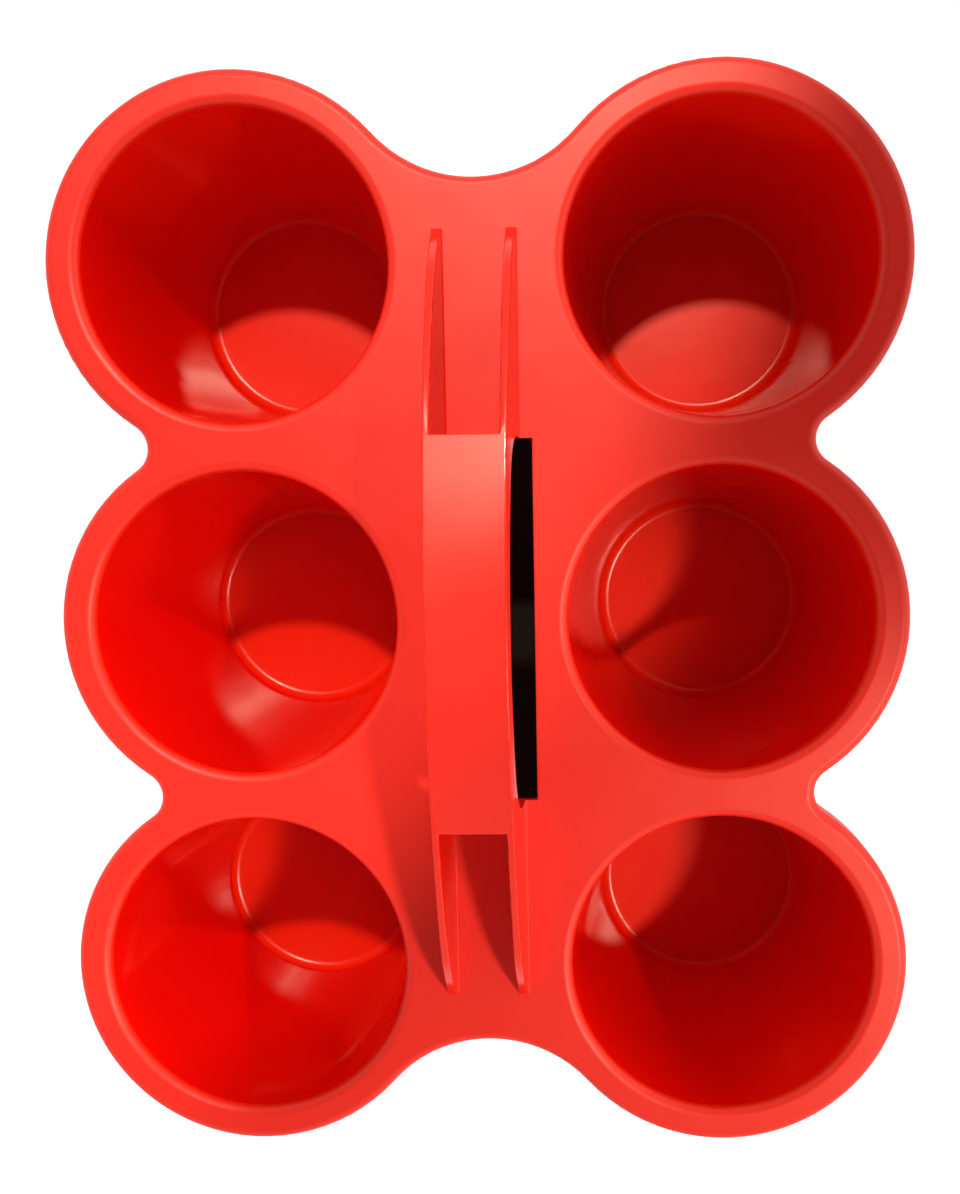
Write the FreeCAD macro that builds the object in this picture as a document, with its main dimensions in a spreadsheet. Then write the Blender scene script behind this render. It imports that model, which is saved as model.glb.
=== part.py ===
import FreeCAD, Part
import math
import os

import Sketcher

# Six-cup carrier, injection moulded in one piece from polypropylene: a flat lobed deck with a
# turned-down skirt, six tapered cups hanging from it, and an arched carrying grip that stands
# on two upright ribs over a slot in the deck. Sizes in millimetres. The origin is the middle of
# the footprint, on the plane that the six cup floors stand on; Y runs along the grip.

NODE = "cup_carrier"

SIZES = [
    ("column_spacing", 146.8, "distance between the two columns of cups, centre to centre"),
    ("row_spacing", 108.4, "distance between neighbouring cups of a column"),
    ("lobe_radius", 57.5, "outer edge of the deck round each cup"),
    ("notch_radius", 7.8, "hollow edge between two lobes of a column"),
    ("bridge_radius", 41.3, "hollow edge between the two columns, at either end"),
    ("deck_thickness", 2.5, "flat top plate"),
    ("skirt_depth", 12.0, "turned-down edge, measured from the top of the deck"),
    ("skirt_wall", 2.3, "thickness of the turned-down edge"),
    ("rim_round", 3.0, "rounding along the outer top edge of the deck"),
    ("cup_depth", 100.0, "from the top of the deck to the floor of a cup"),
    ("floor_thickness", 2.5, "cup floor"),
    ("cup_wall", 2.2, "cup side wall, measured level"),
    ("mouth_radius", 47.2, "inside of a cup where it meets the deck, before rounding"),
    ("floor_radius", 37.2, "inside of a cup at its floor, before rounding"),
    ("mouth_round", 3.0, "rounding of a cup's mouth into the deck"),
    ("floor_round", 3.2, "rounding between a cup's wall and its floor, inside"),
    ("foot_round", 3.0, "rounding of a cup's bottom corner, outside"),
    ("slot_length", 111.2, "slot in the deck under the grip"),
    ("slot_width", 32.6, "slot in the deck under the grip"),
    ("handle_height", 44.0, "top of the grip above the deck"),
    ("handle_blank", 48.0, "height of the tapered block that the handle is shaped from"),
    ("handle_blank_length", 240.0, "length of that block"),
    ("handle_base_width", 25.2, "across both ribs at the deck"),
    ("handle_top_width", 22.9, "across both ribs at the top of the block"),
    ("handle_gap", 19.3, "between the two ribs"),
    ("arch_radius", 210.0, "long curve of the handle, seen from the side"),
    ("arch_half_run", 97.0, "half length of the long curve"),
    ("arch_end_radius", 50.0, "tighter curve that brings each end down to the deck"),
    ("grip_far_end", 54.6, "plate that joins the ribs, from the middle towards +Y"),
    ("grip_near_end", 57.2, "plate that joins the ribs, from the middle towards -Y"),
    ("grip_thickness", 2.6, "plate that joins the ribs"),
    ("finger_height", 36.0, "underside of the grip's side walls above the deck, in the middle"),
    ("finger_crown_radius", 120.0, "long curve of the finger opening"),
    ("finger_corner_radius", 20.5, "corner curve of the finger opening"),
    ("grip_edge_round", 0.6, "rounding along the grip's and ribs' top edges"),
    ("rib_foot_round", 0.35, "rounding where the ribs meet the deck"),
    ("slot_round", 0.5, "rounding along the slot's top edges"),
    ("clearance", 4.0, "how far the handle's cutting outlines run past it"),
]


class Size:
    """A length together with the spreadsheet formula that gives it."""

    def __init__(self, value, text):
        self.value = value
        self.text = text

    def _with(self, other, sign, value):
        return Size(value, f"({self.text} {sign} {other.text})")

    def __add__(self, other):
        return self._with(other, "+", self.value + other.value)

    def __sub__(self, other):
        return self._with(other, "-", self.value - other.value)

    def __neg__(self):
        return Size(-self.value, f"(0 - {self.text})")

    def half(self):
        return Size(self.value / 2, f"({self.text} / 2)")


D = {alias: Size(value, f"Dims.{alias}") for alias, value, note in SIZES}
ZERO = Size(0.0, "0")

deck_top = D["cup_depth"] + D["floor_thickness"]
handle_top = deck_top + D["handle_height"]


def fill_spreadsheet(doc):
    sheet = doc.addObject("Spreadsheet::Sheet", "Dims")
    for row, (alias, value, note) in enumerate(SIZES, start=1):
        sheet.set(f"A{row}", note)
        sheet.set(f"B{row}", str(value))
        sheet.setAlias(f"B{row}", alias)
    doc.recompute()


def new_sketch(body, name, role, out=None, across=None):
    """A sketch on one of the body's origin planes, moved out of it or across it where asked."""
    sketch = body.newObject("Sketcher::SketchObject", name)
    plane = next(item for item in body.Origin.OriginFeatures if item.Role == role)
    sketch.AttachmentSupport = [(plane, "")]
    sketch.MapMode = "FlatFace"
    if out is not None:
        sketch.setExpression("AttachmentOffset.Base.z", out.text)
    if across is not None:
        sketch.setExpression("AttachmentOffset.Base.x", across.text)
    return sketch


def constrain(sketch, *args, size=None):
    """Adds a constraint, driven by the spreadsheet when it has a size."""
    if size is None:
        sketch.addConstraint(Sketcher.Constraint(*args))
        return
    number = sketch.addConstraint(Sketcher.Constraint(*args, size.value))
    sketch.setExpression(f"Constraints[{number}]", size.text)


def pin(sketch, geo, pos, x=None, y=None):
    """Holds a point of the sketch at the given distances from its origin."""
    for kind, axis, size in (("DistanceX", -2, x), ("DistanceY", -1, y)):
        if size is None:
            continue
        if size is ZERO:
            constrain(sketch, "PointOnObject", geo, pos, axis)
        else:
            constrain(sketch, kind, -1, 1, geo, pos, size=size)


def add_arc(sketch, x, y, radius, start, end):
    circle = Part.Circle(FreeCAD.Vector(x, y, 0), FreeCAD.Vector(0, 0, 1), radius)
    return sketch.addGeometry(Part.ArcOfCircle(circle, start, end), False)


def add_lines(sketch, points, closed=False):
    """Straight lines through the points, joined end to end. Every point of a closed run is
    pinned; an open run leaves its two ends free, to be joined to an arc."""
    run = points + points[:1] if closed else points
    lines = []
    for (x0, y0), (x1, y1) in zip(run, run[1:]):
        start = FreeCAD.Vector(x0.value, y0.value, 0)
        end = FreeCAD.Vector(x1.value, y1.value, 0)
        lines.append(sketch.addGeometry(Part.LineSegment(start, end), False))
    for before, after in zip(lines, lines[1:]):
        constrain(sketch, "Coincident", before, 2, after, 1)
    if closed:
        constrain(sketch, "Coincident", lines[-1], 2, lines[0], 1)
    pinned = zip(lines, points) if closed else zip(lines[1:], points[1:])
    for line, (x, y) in pinned:
        pin(sketch, line, 1, x, y)
    return lines


def add_arch(sketch, top, radius, end_radius, lean, foot=None):
    """A long crown arc with a tighter arc tangent to it at either end, down to the foot height
    or to where the end arcs stand upright. Returns the arcs and the right-hand foot point."""
    centre = top - radius
    end_x = (radius.value - end_radius.value) * math.sin(lean)
    end_y = centre.value + (radius.value - end_radius.value) * math.cos(lean)
    low = 0.0 if foot is None else math.asin((foot.value - end_y) / end_radius.value)
    up = math.pi / 2
    crown = add_arc(sketch, 0, centre.value, radius.value, up - lean, up + lean)
    right = add_arc(sketch, end_x, end_y, end_radius.value, low, up - lean)
    left = add_arc(sketch, -end_x, end_y, end_radius.value, up + lean, math.pi - low)
    pin(sketch, crown, 3, ZERO, centre)
    constrain(sketch, "Radius", crown, size=radius)
    constrain(sketch, "Tangent", crown, 1, right, 2)
    constrain(sketch, "Tangent", crown, 2, left, 1)
    constrain(sketch, "Radius", right, size=end_radius)
    constrain(sketch, "Equal", right, left)
    foot_x = Size(end_x + end_radius.value * math.cos(low), "0")
    foot_y = Size(end_y + end_radius.value * math.sin(low), "0")
    return crown, right, left, foot_x, foot_y


def extrude(body, kind, name, sketch, length=None, reverse=False, symmetric=False):
    feature = body.newObject(f"PartDesign::{kind}", name)
    feature.Profile = sketch
    if symmetric:
        feature.SideType = "Symmetric"
    feature.setExpression("Length", length.text)
    feature.Reversed = reverse
    feature.Refine = True
    body.Tip = feature
    return feature


def turn(body, kind, name, sketch):
    feature = body.newObject(f"PartDesign::{kind}", name)
    feature.Profile = sketch
    feature.ReferenceAxis = (sketch, ["V_Axis"])
    feature.Angle = 360
    feature.Refine = True
    body.Tip = feature
    return feature


def round_edges(doc, body, name, radius, test):
    """Rounds every edge of the body as it stands that passes the test."""
    doc.recompute()
    base = body.Tip
    chosen = [f"Edge{i}" for i, edge in enumerate(base.Shape.Edges, start=1) if test(edge)]
    feature = body.newObject("PartDesign::Fillet", name)
    feature.Base = (base, chosen)
    feature.setExpression("Radius", radius.text)
    body.Tip = feature
    doc.recompute()
    print(name, len(chosen), "edges", feature.State, round(feature.Shape.Volume))
    return feature


def level(edge, height):
    """True where the whole edge lies level at this height."""
    box = edge.BoundBox
    return abs(box.ZMin - height.value) < 0.01 and abs(box.ZMax - height.value) < 0.01


# The deck's outline: six round lobes joined by small hollow notches down the sides and one wide
# hollow bridge at each end, every arc tangent to the next.


def lobed_outline(body, name, height, inset):
    sketch = new_sketch(body, name, "XY_Plane", out=height)
    half_column = D["column_spacing"].half()
    row = D["row_spacing"]
    lobe = D["lobe_radius"] - inset
    notch = D["notch_radius"] + inset
    bridge = D["bridge_radius"] + inset

    a = half_column.value
    b = row.value
    notch_out = math.sqrt((lobe.value + notch.value) ** 2 - (b / 2) ** 2)
    bridge_out = math.sqrt((lobe.value + bridge.value) ** 2 - a ** 2)
    notch_angle = math.atan2(b / 2, notch_out)
    bridge_angle = math.atan2(bridge_out, a)
    pi = math.pi

    # Lobes and hollows in turn, anticlockwise from the middle lobe on the right.
    lobes = [
        (a, 0, -notch_angle, notch_angle),
        (a, b, -notch_angle, pi - bridge_angle),
        (-a, b, bridge_angle, pi + notch_angle),
        (-a, 0, pi - notch_angle, pi + notch_angle),
        (-a, -b, pi - notch_angle, 2 * pi - bridge_angle),
        (a, -b, pi + bridge_angle, 2 * pi + notch_angle),
    ]
    hollows = [
        (a + notch_out, b / 2, notch.value, pi - notch_angle, pi + notch_angle),
        (0, b + bridge_out, bridge.value, pi + bridge_angle, 2 * pi - bridge_angle),
        (-a - notch_out, b / 2, notch.value, -notch_angle, notch_angle),
        (-a - notch_out, -b / 2, notch.value, -notch_angle, notch_angle),
        (0, -b - bridge_out, bridge.value, bridge_angle, pi - bridge_angle),
        (a + notch_out, -b / 2, notch.value, pi - notch_angle, pi + notch_angle),
    ]
    lobe_ids = [add_arc(sketch, x, y, lobe.value, start, end) for x, y, start, end in lobes]
    hollow_ids = [add_arc(sketch, *hollow) for hollow in hollows]

    for i in range(6):
        constrain(sketch, "Tangent", lobe_ids[i], 2, hollow_ids[i], 2)
        constrain(sketch, "Tangent", hollow_ids[i], 1, lobe_ids[(i + 1) % 6], 1)
    for geo, (x, y, start, end) in zip(lobe_ids, lobes):
        across = half_column if x > 0 else -half_column
        along = ZERO if y == 0 else (row if y > 0 else -row)
        pin(sketch, geo, 3, across, along)
    constrain(sketch, "Radius", lobe_ids[0], size=lobe)
    for geo in lobe_ids[1:]:
        constrain(sketch, "Equal", lobe_ids[0], geo)
    for geo in hollow_ids:
        wide = geo in (hollow_ids[1], hollow_ids[4])
        constrain(sketch, "Radius", geo, size=bridge if wide else notch)
    return sketch


doc = FreeCAD.newDocument(NODE)
fill_spreadsheet(doc)
body = doc.addObject("PartDesign::Body", "CupCarrier")
body.Label = NODE

# Deck with its turned-down skirt: a lobed block, its top edge rounded, hollowed from below.

outline = lobed_outline(body, "DeckOutline", deck_top, ZERO)
extrude(body, "Pad", "DeckBlock", outline, D["skirt_depth"], reverse=True)
round_edges(doc, body, "RimRound", D["rim_round"], lambda edge: level(edge, deck_top))

under = lobed_outline(body, "SkirtInside", deck_top - D["skirt_depth"], D["skirt_wall"])
extrude(body, "Pocket", "SkirtHollow", under, D["skirt_depth"] - D["deck_thickness"], reverse=True)

# One tapered cup in the corner of the layout, then repeated in two columns and three rows.

corner = {"out": D["row_spacing"], "across": -D["column_spacing"].half()}

shell = new_sketch(body, "CupOutside", "XZ_Plane", **corner)
shell_top = deck_top - D["deck_thickness"].half()
add_lines(shell, [
    (ZERO, ZERO),
    (D["floor_radius"] + D["cup_wall"], ZERO),
    (D["mouth_radius"] + D["cup_wall"], shell_top),
    (ZERO, shell_top),
], closed=True)
cup_shell = turn(body, "Revolution", "CupShell", shell)

inside = new_sketch(body, "CupInside", "XZ_Plane", **corner)
add_lines(inside, [
    (ZERO, D["floor_thickness"]),
    (D["floor_radius"], D["floor_thickness"]),
    (D["mouth_radius"], deck_top),
    (ZERO, deck_top),
], closed=True)
cup_hollow = turn(body, "Groove", "CupHollow", inside)
doc.recompute()

cups = body.newObject("PartDesign::LinearPattern", "CupPattern")
cups.Originals = [cup_shell, cup_hollow]
cups.Direction = (outline, ["H_Axis"])
cups.Mode = "Spacing"
cups.Occurrences = 2
cups.setExpression("Offset", D["column_spacing"].text)
cups.Direction2 = (outline, ["V_Axis"])
cups.Mode2 = "Spacing"
cups.Occurrences2 = 3
cups.setExpression("Offset2", D["row_spacing"].text)
cups.Spacings2 = [-1.0, -1.0]
body.Tip = cups
doc.recompute()
print("cups", cups.State, round(cups.Shape.Volume), cups.Shape.isValid())

# Handle: a tapered block along the deck, arched over, then cleared between the ribs and under
# the grip.

section = new_sketch(body, "HandleSection", "XZ_Plane")
blank_top = deck_top + D["handle_blank"]
add_lines(section, [
    (-D["handle_base_width"].half(), deck_top),
    (D["handle_base_width"].half(), deck_top),
    (D["handle_top_width"].half(), blank_top),
    (-D["handle_top_width"].half(), blank_top),
], closed=True)
extrude(body, "Pad", "HandleBlock", section, D["handle_blank_length"], symmetric=True)


def arch_cutter(body, name, reach, top):
    """Everything above the handle's side profile, out to a box round it."""
    sketch = new_sketch(body, name, "YZ_Plane")
    run = D["arch_half_run"]
    lean = math.asin(run.value / D["arch_radius"].value)
    crown, right, left, tip, _ = add_arch(
        sketch, handle_top, D["arch_radius"], D["arch_end_radius"], lean, deck_top)
    pin(sketch, crown, 1, x=run)
    pin(sketch, crown, 2, x=-run)
    lines = add_lines(sketch, [
        (tip, deck_top), (reach, deck_top), (reach, top),
        (-reach, top), (-reach, deck_top), (-tip, deck_top),
    ])
    constrain(sketch, "Coincident", right, 1, lines[0], 1)
    constrain(sketch, "Coincident", left, 2, lines[-1], 2)
    constrain(sketch, "Horizontal", lines[0])
    constrain(sketch, "Horizontal", lines[-1])
    return sketch


reach = D["handle_blank_length"].half() + D["clearance"]
above = blank_top + D["clearance"]
cut_width = D["handle_base_width"] + D["clearance"]
arch = arch_cutter(body, "HandleProfile", reach, above)
extrude(body, "Pocket", "HandleArch", arch, cut_width, symmetric=True)


# Between the ribs the block is open to the deck, except for the plate of the grip.


def between_ribs(body, name, reach, top):
    sketch = new_sketch(body, name, "YZ_Plane")
    radius = D["arch_radius"] - D["grip_thickness"]
    centre = handle_top - D["arch_radius"]
    far_end = D["grip_far_end"]
    near_end = D["grip_near_end"]
    far_lean = math.asin(far_end.value / radius.value)
    near_lean = math.asin(near_end.value / radius.value)
    up = math.pi / 2
    plate = add_arc(sketch, 0, centre.value, radius.value, up - far_lean, up + near_lean)
    far_height = Size(centre.value + radius.value * math.cos(far_lean), "0")
    near_height = Size(centre.value + radius.value * math.cos(near_lean), "0")
    pin(sketch, plate, 3, ZERO, centre)
    constrain(sketch, "Radius", plate, size=radius)
    lines = add_lines(sketch, [
        (-near_end, near_height), (-near_end, top), (-reach, top), (-reach, deck_top),
        (reach, deck_top), (reach, top), (far_end, top), (far_end, far_height),
    ])
    constrain(sketch, "Vertical", lines[0])
    constrain(sketch, "Vertical", lines[-1])
    constrain(sketch, "Coincident", plate, 2, lines[0], 1)
    constrain(sketch, "Coincident", plate, 1, lines[-1], 2)
    return sketch


channel = between_ribs(body, "GripUnderside", reach, above)
extrude(body, "Pocket", "HandleChannel", channel, D["handle_gap"], symmetric=True)


# Finger opening through the ribs under the grip: a flat arch with round corners.


def finger_opening(body, name):
    sketch = new_sketch(body, name, "YZ_Plane")
    half = D["slot_length"].half()
    radius = D["finger_crown_radius"]
    corner_radius = D["finger_corner_radius"]
    corner_x = half.value - corner_radius.value
    lean = math.asin(corner_x / (radius.value - corner_radius.value))
    crown_top = deck_top + D["finger_height"]
    crown, right, left, _, foot = add_arch(sketch, crown_top, radius, corner_radius, lean)
    lines = add_lines(sketch, [
        (-half, foot), (-half, deck_top), (half, deck_top), (half, foot),
    ])
    constrain(sketch, "Vertical", lines[0])
    constrain(sketch, "Vertical", lines[-1])
    constrain(sketch, "Tangent", left, 2, lines[0], 1)
    constrain(sketch, "Tangent", right, 1, lines[-1], 2)
    return sketch


fingers = finger_opening(body, "FingerProfile")
extrude(body, "Pocket", "FingerOpening", fingers, cut_width, symmetric=True)

slot = new_sketch(body, "SlotOutline", "XY_Plane", out=deck_top)
half_slot = D["slot_length"].half()
half_width = D["slot_width"].half()
add_lines(slot, [
    (-half_width, -half_slot),
    (half_width, -half_slot),
    (half_width, half_slot),
    (-half_width, half_slot),
], closed=True)
extrude(body, "Pocket", "DeckSlot", slot, D["deck_thickness"])
doc.recompute()
print("before rounding", body.Tip.State, round(body.Tip.Shape.Volume), body.Tip.Shape.isValid())

# Rounded corners: cup mouths, cup floors inside and out, ribs and grip.


def cup_ring(edge, radius, height):
    """True for a circle, or a piece of one, of this radius at this height."""
    circle = edge.Curve
    return (circle.TypeId == "Part::GeomCircle" and level(edge, height)
            and abs(circle.Radius - radius.value) < 0.01)


round_edges(doc, body, "MouthRound", D["mouth_round"],
            lambda edge: cup_ring(edge, D["mouth_radius"], deck_top))
round_edges(doc, body, "FloorRound", D["floor_round"],
            lambda edge: cup_ring(edge, D["floor_radius"], D["floor_thickness"]))
round_edges(doc, body, "FootRound", D["foot_round"],
            lambda edge: cup_ring(edge, D["floor_radius"] + D["cup_wall"], ZERO))


def rib_foot(edge):
    """True for the straight edges where the ribs' sides stand on the deck."""
    box = edge.BoundBox
    inner = D["handle_gap"].half().value - 0.01
    outer = D["handle_base_width"].half().value + 0.01
    straight = box.XLength < 0.01 and box.YLength > 1
    return level(edge, deck_top) and straight and inner < abs(box.XMin) < outer


def arch_edge(edge):
    """True for the edges over the top of the grip, down the ribs and across the grip's ends."""
    box = edge.BoundBox
    middle = edge.valueAt((edge.FirstParameter + edge.LastParameter) / 2)
    crown_centre = (handle_top - D["arch_radius"]).value
    from_centre = math.hypot(middle.y, middle.z - crown_centre)
    on_crown = abs(from_centre - D["arch_radius"].value) < 0.01
    on_end = abs(middle.y) > D["arch_half_run"].value and middle.z > deck_top.value + 0.5
    on_handle = abs(middle.x) < D["handle_base_width"].half().value
    long_enough = box.YLength > 5 or box.XLength > 5
    return long_enough and on_handle and (on_crown or on_end)


def slot_edge(edge):
    """True for the long top edges of the slot in the deck."""
    box = edge.BoundBox
    along = box.XLength < 0.01 and box.YLength > 1
    on_side = abs(abs(box.XMin) - D["slot_width"].half().value) < 0.01
    return level(edge, deck_top) and along and on_side


round_edges(doc, body, "SlotRound", D["slot_round"], slot_edge)
round_edges(doc, body, "RibFootRound", D["rib_foot_round"], rib_foot)
round_edges(doc, body, "ArchRound", D["grip_edge_round"], arch_edge)

doc.recompute()
for item in doc.Objects:
    if "Invalid" in item.State or "Error" in item.State:
        raise RuntimeError(f"{item.Name}: {item.State}")
shape = body.Shape
if shape.isNull() or not shape.isValid() or len(shape.Solids) != 1:
    raise RuntimeError(f"{NODE}: the finished shape isn't one valid solid")
print(NODE, "volume", round(shape.Volume), "mm3", shape.BoundBox)

os.makedirs("parts", exist_ok=True)
shape.exportStep(f"parts/{NODE}.step")
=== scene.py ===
import math

import bmesh
import bpy
from mathutils import Euler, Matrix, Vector


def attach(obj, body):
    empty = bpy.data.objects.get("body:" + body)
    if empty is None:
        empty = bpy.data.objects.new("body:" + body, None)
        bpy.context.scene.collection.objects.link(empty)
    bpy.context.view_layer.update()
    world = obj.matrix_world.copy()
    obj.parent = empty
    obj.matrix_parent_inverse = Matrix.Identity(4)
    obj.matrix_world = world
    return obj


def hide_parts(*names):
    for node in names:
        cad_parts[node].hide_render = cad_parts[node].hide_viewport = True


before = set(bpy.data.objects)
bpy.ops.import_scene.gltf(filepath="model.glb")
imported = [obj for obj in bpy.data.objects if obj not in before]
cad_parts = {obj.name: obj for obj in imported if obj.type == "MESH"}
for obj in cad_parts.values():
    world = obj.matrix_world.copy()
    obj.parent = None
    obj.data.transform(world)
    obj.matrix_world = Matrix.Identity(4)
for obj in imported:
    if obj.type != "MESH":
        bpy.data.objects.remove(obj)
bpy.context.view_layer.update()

# The carrier: deck, skirt, six cups, ribs and grip in one shot of orange-red polypropylene,
# injection moulded with the cores drawn out of the cups and up through the slot.

# Where things are, in metres: across from the middle, along from the middle, or down from the
# top of the deck.
deck_height = 0.1025
cup_across = 0.0734
row_spacing = 0.1084
wall_reach = 0.0475
mouth_reach = 0.0505
mouth_round = 0.003
mouth_round_end = 0.0033
floor_round_start = 0.0965
rib_reach = 0.0128
grip_reach = 0.0109
grip_near_end = -0.0573
grip_far_end = 0.0547
hair = 0.0001

# The polish of each part of the mould, from 0 for satin to 1 for a mirror.
satin = 0.0
grip_polish = 0.06
floor_polish = 0.45
mouth_polish = 0.5
rib_polish = 0.7
wall_polish = 1.0

# The wall red is the plastic's own colour. The satin and floor reds add a painted sheen, paler
# and more orange, for the white light their rougher surfaces scatter.
satin_red_painted_sheen = "#E42117"
floor_red_painted_sheen = "#EA2204"
wall_red = "#E40A03"

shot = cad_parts["cup_carrier"]
carrier = bpy.data.objects.new("moulded_carrier", shot.data.copy())
bpy.context.scene.collection.objects.link(carrier)

skin = bmesh.new()
skin.from_mesh(carrier.data)
bmesh.ops.remove_doubles(skin, verts=skin.verts, dist=2e-6)
bmesh.ops.dissolve_limit(skin, angle_limit=math.radians(0.2), verts=skin.verts, edges=skin.edges)
skin.to_mesh(carrier.data)
skin.free()
carrier.data.materials.clear()
for face in carrier.data.polygons:
    face.use_smooth = True

# Shaded round except where two faces meet at a corner: past 50 degrees, or past 25 degrees
# where one of them is a flat of some size.
corner_turn = 50
flat_corner_turn = 25
flat_area = 20e-6
skin = bmesh.new()
skin.from_mesh(carrier.data)
for edge in skin.edges:
    if len(edge.link_faces) == 2:
        turn = math.degrees(edge.calc_face_angle(0))
        flat = max(face.calc_area() for face in edge.link_faces) > flat_area
        edge.smooth = turn < (flat_corner_turn if flat else corner_turn)
skin.to_mesh(carrier.data)
skin.free()
even = carrier.modifiers.new("even_shading", "WEIGHTED_NORMAL")
even.mode = "FACE_AREA_WITH_ANGLE"
even.keep_sharp = True

# The polish, face by face: satin on the deck and outside, a trace more on top of the grip, more
# on a cup's floor and the round at its foot, more again on the ribs and the grip's edges, and
# full on a cup's wall, so that the core draws out. It rises over the round at the mouth.
finish = carrier.data.attributes.new("finish", "FLOAT", "FACE")
for face in carrier.data.polygons:
    x, y, z = face.center
    row = max(-1, min(1, round(y / row_spacing)))
    to_axis = Vector((math.copysign(cup_across, x) - x, row_spacing * row - y))
    depth = deck_height - z
    up = face.normal.z
    facing = face.normal.xy.dot(to_axis) > 0
    value = satin
    if to_axis.length < wall_reach and depth > mouth_round_end and up > 0:
        if up > 0.97 or depth > floor_round_start:
            value = floor_polish
        elif facing:
            value = wall_polish
    elif to_axis.length < mouth_reach and hair < depth < mouth_round_end and facing:
        value = mouth_polish * min(1.0, depth / mouth_round)
    elif abs(x) < rib_reach and depth < -hair:
        grip_top = up > 0.9 and grip_near_end < y < grip_far_end and abs(x) < grip_reach
        value = grip_polish if grip_top else rib_polish
    finish.data[face.index].value = value


def hex_linear(code):
    """An sRGB hex colour as linear red, green, blue and alpha."""
    parts = [int(code[i:i + 2], 16) / 255 for i in (1, 3, 5)]
    line = [p / 12.92 if p <= 0.04045 else ((p + 0.055) / 1.055) ** 2.4 for p in parts]
    return (*line, 1.0)


def add(tree, kind, settings=None, links=None):
    """Adds one node: its own settings and socket values, then the links into its sockets,
    each socket by its name or its number."""
    node = tree.nodes.new(kind)
    for key, value in (settings or {}).items():
        if isinstance(key, str) and hasattr(node, key):
            setattr(node, key, value)
        else:
            node.inputs[key].default_value = value
    for key, source in (links or {}).items():
        tree.links.new(source, node.inputs[key])
    return node


def moulded_polypropylene():
    """Injection-moulded polypropylene, red right through. The satin outside is painted paler, a
    painted sheen standing for the white light its surface scatters; the cups' polished walls keep
    the plastic's own deep red and mirror each other.
    Cooling leaves the surface faintly wavy, 20 mm from hump to hump, and the satin uneven; the
    grain of the satin, about 1 mm, is drawn coarser than the real one so that it shows."""
    flows, humps, grains = 18.0, 50.0, 900.0  # to the metre
    hump_height, grain_height = 0.0002, 0.0001

    material = bpy.data.materials.new("injection_moulded_polypropylene")
    material.use_nodes = True
    tree = material.node_tree
    tree.nodes.clear()
    place = add(tree, "ShaderNodeTexCoord").outputs["Object"]
    finish = add(tree, "ShaderNodeAttribute", {"attribute_name": "finish"}).outputs["Fac"]

    # The plastic's own deep red on a cup's polished wall. A painted sheen makes it paler
    # orange-red on the satin outside and a little less pale on a cup's floor.
    floor = add(tree, "ShaderNodeMapRange", {"From Max": mouth_polish}, {"Value": finish})
    wall = add(tree, "ShaderNodeMapRange", {"From Min": mouth_polish}, {"Value": finish})
    outside = add(tree, "ShaderNodeMix", {"data_type": "RGBA", "A": hex_linear(satin_red_painted_sheen),
                                          "B": hex_linear(floor_red_painted_sheen)},
                  {"Factor": floor.outputs["Result"]})
    colour = add(tree, "ShaderNodeMix", {"data_type": "RGBA", "B": hex_linear(wall_red)},
                 {"Factor": wall.outputs["Result"], "A": outside.outputs["Result"]})
    flow = add(tree, "ShaderNodeTexNoise", {"Scale": flows, "Detail": 2.0}, {"Vector": place})
    value = add(tree, "ShaderNodeMapRange", {"To Min": 0.97, "To Max": 1.03},
                {"Value": flow.outputs["Fac"]})
    tint = add(tree, "ShaderNodeHueSaturation", None,
               {"Color": colour.outputs["Result"], "Value": value.outputs["Result"]})

    # Roughness 0.40 to 0.53 where it is satin, down to 0.10 where it is fully polished.
    uneven = add(tree, "ShaderNodeMapRange", {"To Min": 0.40, "To Max": 0.53},
                 {"Value": flow.outputs["Fac"]})
    rough = add(tree, "ShaderNodeMapRange", {"To Max": 0.10},
                {"Value": finish, "To Min": uneven.outputs["Result"]})
    hollows = add(tree, "ShaderNodeTexNoise", {"Scale": humps, "Detail": 1.0}, {"Vector": place})
    wavy = add(tree, "ShaderNodeBump", {"Strength": 1.0, "Distance": hump_height},
               {"Height": hollows.outputs["Fac"]})
    grain = add(tree, "ShaderNodeTexNoise", {"Scale": grains, "Detail": 2.0}, {"Vector": place})
    surface = add(tree, "ShaderNodeBump", {"Strength": 0.12, "Distance": grain_height},
                  {"Height": grain.outputs["Fac"], "Normal": wavy.outputs["Normal"]})
    plastic = add(tree, "ShaderNodeBsdfPrincipled", {"IOR": 1.49},
                  {"Base Color": tint.outputs["Color"], "Roughness": rough.outputs["Result"],
                   "Normal": surface.outputs["Normal"]})
    add(tree, "ShaderNodeOutputMaterial", None, {"Surface": plastic.outputs["BSDF"]})
    return material


carrier.data.materials.append(moulded_polypropylene())
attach(carrier, "root")
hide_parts("cup_carrier")

# The table: a flat top of matt white laminate, far wider than the carrier that stands on it.
# Nothing fixes the carrier to it.

table_reach = 8.0
laminate_white = "#E6E6E6"
table_mesh = bpy.data.meshes.new("table_top")
corners = [(table_reach * x, table_reach * y, 0) for x, y in ((-1, -1), (1, -1), (1, 1), (-1, 1))]
table_mesh.from_pydata(corners, [], [(0, 1, 2, 3)])
table = bpy.data.objects.new("table_top", table_mesh)
bpy.context.scene.collection.objects.link(table)


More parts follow.
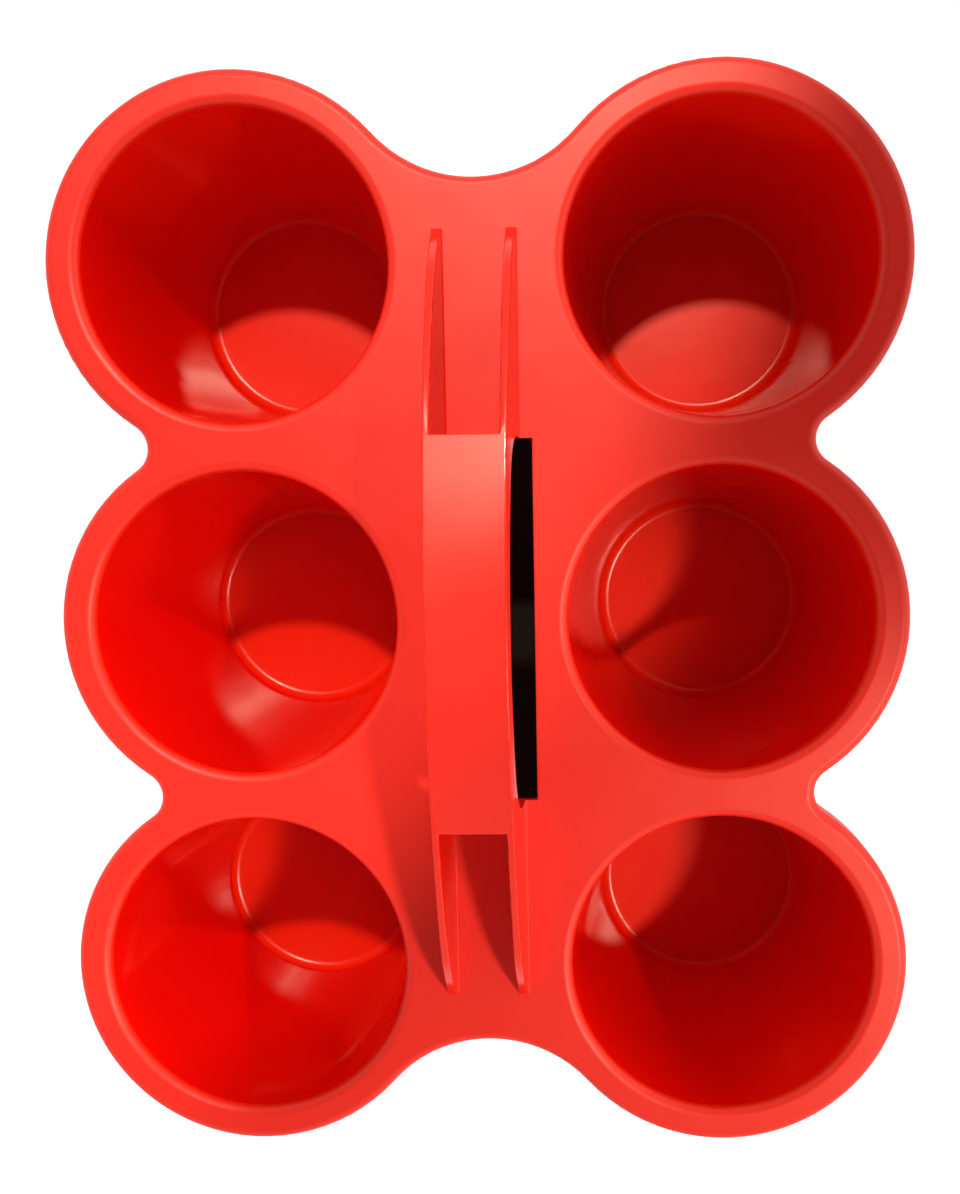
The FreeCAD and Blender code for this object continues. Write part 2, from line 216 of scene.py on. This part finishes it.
def matt_white_laminate():
    """White laminate, matt, so it gives back an even light with no shine. To the eye it is white
    paper with the carrier's shadow faint on it. In the strip right under the carrier that shows
    through the slot it is painted dark, a painted shade."""
    # Painted shade in the strip under the carrier: there the glow fades to nothing and the
    # laminate's colour drops to near black.
    painted_shade_shape = (0.35, 1.0, 1.0)  # about a third as wide as it is long
    dark_end, open_end = 0.082, 0.105
    open_light, open_shade, dark_shade = 0.88, 0.48, 0.012

    material = bpy.data.materials.new("matt_white_laminate")
    material.use_nodes = True
    tree = material.node_tree
    tree.nodes.clear()
    matt = add(tree, "ShaderNodeBsdfDiffuse", {"Color": hex_linear(laminate_white)})
    rays = add(tree, "ShaderNodeLightPath").outputs
    mirrored = add(tree, "ShaderNodeMath", {"operation": "MAXIMUM"},
                   {0: rays["Is Glossy Ray"], 1: rays["Is Transmission Ray"]})
    seen = add(tree, "ShaderNodeMath", {"operation": "MAXIMUM"},
               {0: rays["Is Camera Ray"], 1: mirrored.outputs["Value"]})

    place = add(tree, "ShaderNodeTexCoord").outputs["Object"]
    strip = add(tree, "ShaderNodeVectorMath", {"operation": "DIVIDE", 1: painted_shade_shape},
                {0: place})
    away = add(tree, "ShaderNodeVectorMath", {"operation": "LENGTH"},
               {0: strip.outputs["Vector"]})
    clear_of_painted_shade = add(tree, "ShaderNodeMapRange",
                   {"interpolation_type": "SMOOTHSTEP", "From Min": dark_end,
                    "From Max": open_end, "To Min": 0.0, "To Max": open_light},
                   {"Value": away.outputs["Value"]})
    shade = add(tree, "ShaderNodeMapRange",
                {"From Max": open_light, "To Min": dark_shade, "To Max": open_shade},
                {"Value": clear_of_painted_shade.outputs["Result"]})
    paper = add(tree, "ShaderNodeEmission", None, {"Strength": clear_of_painted_shade.outputs["Result"]})
    shadow = add(tree, "ShaderNodeBsdfDiffuse", None, {"Color": shade.outputs["Result"]})
    both = add(tree, "ShaderNodeAddShader", None,
               {0: shadow.outputs["BSDF"], 1: paper.outputs["Emission"]})
    pick = add(tree, "ShaderNodeMixShader", None,
               {0: seen.outputs["Value"], 1: matt.outputs["BSDF"], 2: both.outputs["Shader"]})
    add(tree, "ShaderNodeOutputMaterial", None, {"Surface": pick.outputs["Shader"]})
    return material


table_mesh.materials.append(matt_white_laminate())

# The lamps: one ceiling lamp beyond the back row, whose pool of light ends across the carrier's
# right side, and a row of seven small ones off to the right that light its near half softly.

warm_white = (1.0, 0.84, 0.62)


def add_spot(name, place, aim, cone, blend, size, power):
    """A round warm-white lamp of the given size, its cone's edge softened by the blend, turned
    to face a point."""
    lamp = bpy.data.lights.new(name, "SPOT")
    lamp.spot_size = math.radians(cone)
    lamp.spot_blend = blend
    lamp.shadow_soft_size = size
    lamp.energy = power
    lamp.color = warm_white
    spot = bpy.data.objects.new(name, lamp)
    spot.location = place
    spot.rotation_euler = (Vector(aim) - Vector(place)).to_track_quat("-Z", "Y").to_euler()
    bpy.context.scene.collection.objects.link(spot)


add_spot("back_lamp", (0.0, 0.61, 1.10), (-0.375, 0.327, 0.10), 53.0, 0.06, 0.024, 44.0)

side_lamps = 7
side_power = 39.0
side_middle = (0.65, -0.30, 1.10)
side_half_row = (0.085, 0.03, 0.05)
middle_number = (side_lamps - 1) / 2
for number in range(side_lamps):
    step = (number - middle_number) / middle_number
    place = tuple(middle + half * step for middle, half in zip(side_middle, side_half_row))
    add_spot(f"side_lamp_{number + 1}", place, (0.010, -0.120, 0.10), 17.6, 0.42, 0.026,
             side_power / side_lamps)

# The room: dark overhead, pale walls all round, and a window low on the right. Straight to the
# eye it is plain white.

wall_light, ceiling_light, window_light = 0.82, 0.03, 1.4
room_light = (1.0, 0.90, 0.74, 1.0)

world = bpy.data.worlds.new("dim_room")
bpy.context.scene.world = world
world.use_nodes = True
tree = world.node_tree
tree.nodes.clear()
way = add(tree, "ShaderNodeTexCoord").outputs["Generated"]
way = add(tree, "ShaderNodeSeparateXYZ", None, {"Vector": way}).outputs
walls = add(tree, "ShaderNodeMapRange",
            {"interpolation_type": "SMOOTHSTEP", "From Min": 0.60, "From Max": 0.93,
             "To Min": wall_light, "To Max": ceiling_light}, {"Value": way["Z"]})
low = add(tree, "ShaderNodeMapRange",
          {"interpolation_type": "SMOOTHSTEP", "From Min": 0.15, "From Max": 0.50,
           "To Min": 1.0, "To Max": 0.0}, {"Value": way["Z"]})
right = add(tree, "ShaderNodeMapRange",
            {"interpolation_type": "SMOOTHSTEP", "From Min": 0.2, "From Max": 0.8,
             "To Min": 0.0, "To Max": window_light}, {"Value": way["X"]})
window = add(tree, "ShaderNodeMath", {"operation": "MULTIPLY_ADD"},
             {0: low.outputs["Result"], 1: right.outputs["Result"], 2: walls.outputs["Result"]})
light = add(tree, "ShaderNodeBackground", {"Color": room_light},
            {"Strength": window.outputs["Value"]})
white = add(tree, "ShaderNodeBackground", {"Color": (1.0, 1.0, 1.0, 1.0)})
rays = add(tree, "ShaderNodeLightPath").outputs
pick = add(tree, "ShaderNodeMixShader", None,
           {0: rays["Is Camera Ray"], 1: light.outputs["Background"],
            2: white.outputs["Background"]})
add(tree, "ShaderNodeOutputWorld", None, {"Surface": pick.outputs["Shader"]})

# Camera: hand-held, close above the grip and looking almost straight down. Its shift puts the
# carrier in the middle of the frame.

above_deck = 0.37902
tilt = (-5.3144, 1.8141, -0.7525)  # degrees about X, Y and Z

lens = bpy.data.cameras.new("camera")
lens.sensor_width = 36.0
lens.lens = 37.531658
lens.shift_x = -0.0746
lens.shift_y = 0.0315
lens.clip_start = 0.01
camera = bpy.data.objects.new("camera", lens)
camera.location = (0.03923, 0.03091, deck_height + above_deck)
camera.rotation_euler = Euler([math.radians(a) for a in tilt], "XYZ")
bpy.context.scene.collection.objects.link(camera)
bpy.context.scene.camera = camera
bpy.context.scene.view_settings.view_transform = "Standard"
